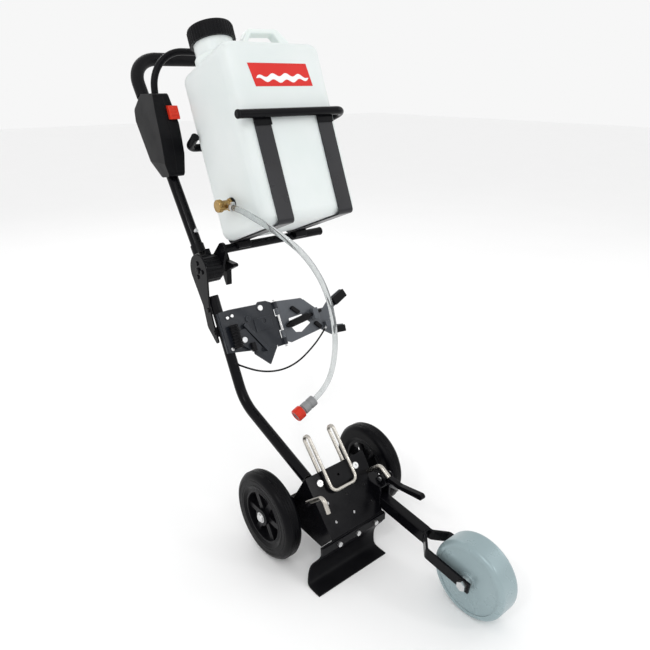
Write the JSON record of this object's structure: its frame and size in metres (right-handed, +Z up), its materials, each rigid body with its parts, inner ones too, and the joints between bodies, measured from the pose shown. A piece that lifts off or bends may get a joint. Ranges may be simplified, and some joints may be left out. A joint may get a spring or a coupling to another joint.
{
  "type": "power cutter guide trolley",
  "caption": "Walk-behind guide trolley for a hand-held concrete cutter, with rear wheels, a front guide wheel, a folding handle and a water tank.",
  "frame": {"origin": "on the ground, in the middle of the footprint's bounding box, without the free hose", "axes": "+X to the operator's left, -Y is the travel direction, +Z up"},
  "size_m": [0.4707, 1.1172, 1.1042],
  "materials": {
    "black_steel": "satin black powder coat",
    "grey_steel": "satin grey powder coat",
    "zinc": "zinc plated",
    "stainless": "polished bent wire",
    "wheel_grey": "pale grey enamel",
    "tyre_rubber": "moulded rubber",
    "black_plastic": "moulded plastic",
    "black_rubber": "rubber",
    "tank_plastic": "translucent blow-moulded plastic",
    "red_plastic": "moulded plastic",
    "grey_plastic": "moulded plastic",
    "clear_hose": "clear flexible hose",
    "brass": "turned brass"
  },
  "bodies": {
    "frame": {"axle_beam": "black_steel", "axle_rod": "zinc", "axle_caps": "zinc", "chassis_plate": "black_steel", "clip_pad": "black_rubber", "plate_screws": "zinc", "wire_clip": "stainless", "tube_hooks": "stainless", "splash_apron": "black_rubber", "apron_strip": "black_steel", "apron_bolts": "zinc", "arm_bracket": "black_steel", "pivot_bolts": "zinc", "column_tube": "black_steel", "joint_plate": "black_steel", "column_screws": "zinc", "hub_fixed": "black_plastic", "joint_bolt": "black_steel", "unit_plate": "grey_steel", "spring_unit": "black_rubber", "adjust_plate": "grey_steel", "hinge_pin": "zinc", "throttle_cable": "black_rubber"},
    "wheel_right": {"tyre_right": "tyre_rubber", "rim_right": "black_plastic"},
    "wheel_left": {"tyre_left": "tyre_rubber", "rim_left": "black_plastic"},
    "guide_arm": {"guide_arm": "black_steel", "fork_tines": "black_steel", "guide_spacers": "zinc", "guide_bolt": "zinc"},
    "guide_wheel": {"guide_wheel": "wheel_grey"},
    "depth_lever": {"depth_lever": "black_steel"},
    "handle": {"hub_handle": "black_plastic", "handle_tube": "black_steel", "grip_sleeve": "black_rubber", "switch_housing": "black_plastic", "housing_screws": "zinc"},
    "bail": {"throttle_bail": "black_plastic"},
    "stop_switch": {"stop_switch": "red_plastic"},
    "tank_holder": {"tank_arm": "black_steel", "tank_straps": "grey_steel", "strap_blocks": "black_plastic", "tank_hoop": "black_steel", "cradle_plugs": "black_plastic", "water_tank": "tank_plastic", "tap_grommet": "black_rubber", "tap_body": "brass", "hose_clip": "zinc", "water_hose": "clear_hose", "coupling_body": "grey_plastic"},
    "tank_cap": {"tank_cap": "black_plastic"},
    "tap_knob": {"tap_knob": "brass"},
    "coupling_collar": {"coupling_collar": "red_plastic"},
    "star_knob": {"star_knob": "black_plastic"},
    "swing_unit": {"swing_plate": "grey_steel", "handle_fork": "grey_steel", "rubber_pads": "black_rubber", "cable_ferrule": "zinc"},
    "plunger": {"throttle_plunger": "black_plastic"}
  },
  "joints": [
    {"name": "wheel_right_spin", "type": "hinge", "parent": "frame", "child": "wheel_right", "pos_m": [-0.2105, -0.0856, 0.1], "axis": [1, 0, 0], "continuous": true},
    {"name": "wheel_left_spin", "type": "hinge", "parent": "frame", "child": "wheel_left", "pos_m": [0.0925, -0.0856, 0.1], "axis": [1, 0, 0], "continuous": true},
    {"name": "guide_arm_tilt", "type": "hinge", "parent": "frame", "child": "guide_arm", "pos_m": [0.004, -0.1976, 0.114], "axis": [1, 0, 0], "range_deg": [0, 8]},
    {"name": "guide_wheel_spin", "type": "hinge", "parent": "guide_arm", "child": "guide_wheel", "pos_m": [0.004, -0.4766, 0.082], "axis": [1, 0, 0], "continuous": true},
    {"name": "depth_lever_turn", "type": "hinge", "parent": "frame", "child": "depth_lever", "pos_m": [0.016, -0.2136, 0.163], "axis": [1, 0, 0], "range_deg": [-60, 0]},
    {"name": "handle_fold", "type": "hinge", "parent": "frame", "child": "handle", "pos_m": [-0.139, 0.2454, 0.566], "axis": [1, 0, 0], "range_deg": [-35, 2]},
    {"name": "bail_squeeze", "type": "hinge", "parent": "handle", "child": "bail", "pos_m": [-0.139, 0.4224, 0.926], "axis": [1, 0, 0], "range_deg": [-25, 0], "stiffness_Nm_per_rad": 1.2, "springref_deg": 3.44},
    {"name": "stop_switch_press", "type": "slide", "parent": "handle", "child": "stop_switch", "axis": [0, 1, 0], "range_m": [0, 0.003], "stiffness_N_per_m": 350, "springref_m": -0.002},
    {"name": "tank_tilt", "type": "hinge", "parent": "frame", "child": "tank_holder", "pos_m": [-0.108, 0.2454, 0.566], "axis": [1, 0, 0], "range_deg": [-2, 10]},
    {"name": "star_knob_turn", "type": "hinge", "parent": "frame", "child": "star_knob", "pos_m": [-0.089, 0.2454, 0.566], "axis": [1, 0, 0], "continuous": true},
    {"name": "tank_cap_turn", "type": "hinge", "parent": "tank_holder", "child": "tank_cap", "pos_m": [-0.049, 0.2992, 1.05422], "axis": [0, 0.3697, 0.9291], "continuous": true},
    {"name": "tap_knob_turn", "type": "hinge", "parent": "tank_holder", "child": "tap_knob", "pos_m": [-0.131, 0.16738, 0.72567], "axis": [1, 0, 0], "range_deg": [0, 90]},
    {"name": "coupling_collar_slide", "type": "slide", "parent": "tank_holder", "child": "coupling_collar", "axis": [0.9149, 0, 0.4036], "range_m": [0, 0.0035], "stiffness_N_per_m": 300, "springref_m": -0.002},
    {"name": "swing_unit_hinge", "type": "hinge", "parent": "frame", "child": "swing_unit", "pos_m": [0.009, 0.15734, 0.41746], "axis": [0, 0.4321, 0.9018], "range_deg": [-25, 0], "deforming": ["throttle_cable"]},
    {"name": "plunger_slide", "type": "slide", "parent": "swing_unit", "child": "plunger", "axis": [0.9925, 0.0527, 0.1099], "range_m": [0, 0.008], "stiffness_N_per_m": 300, "springref_m": -0.003}
  ],
  "couplings": [
    {"joint": "depth_lever_turn", "follows": "guide_arm_tilt", "ratio": -7.5}
  ]
}
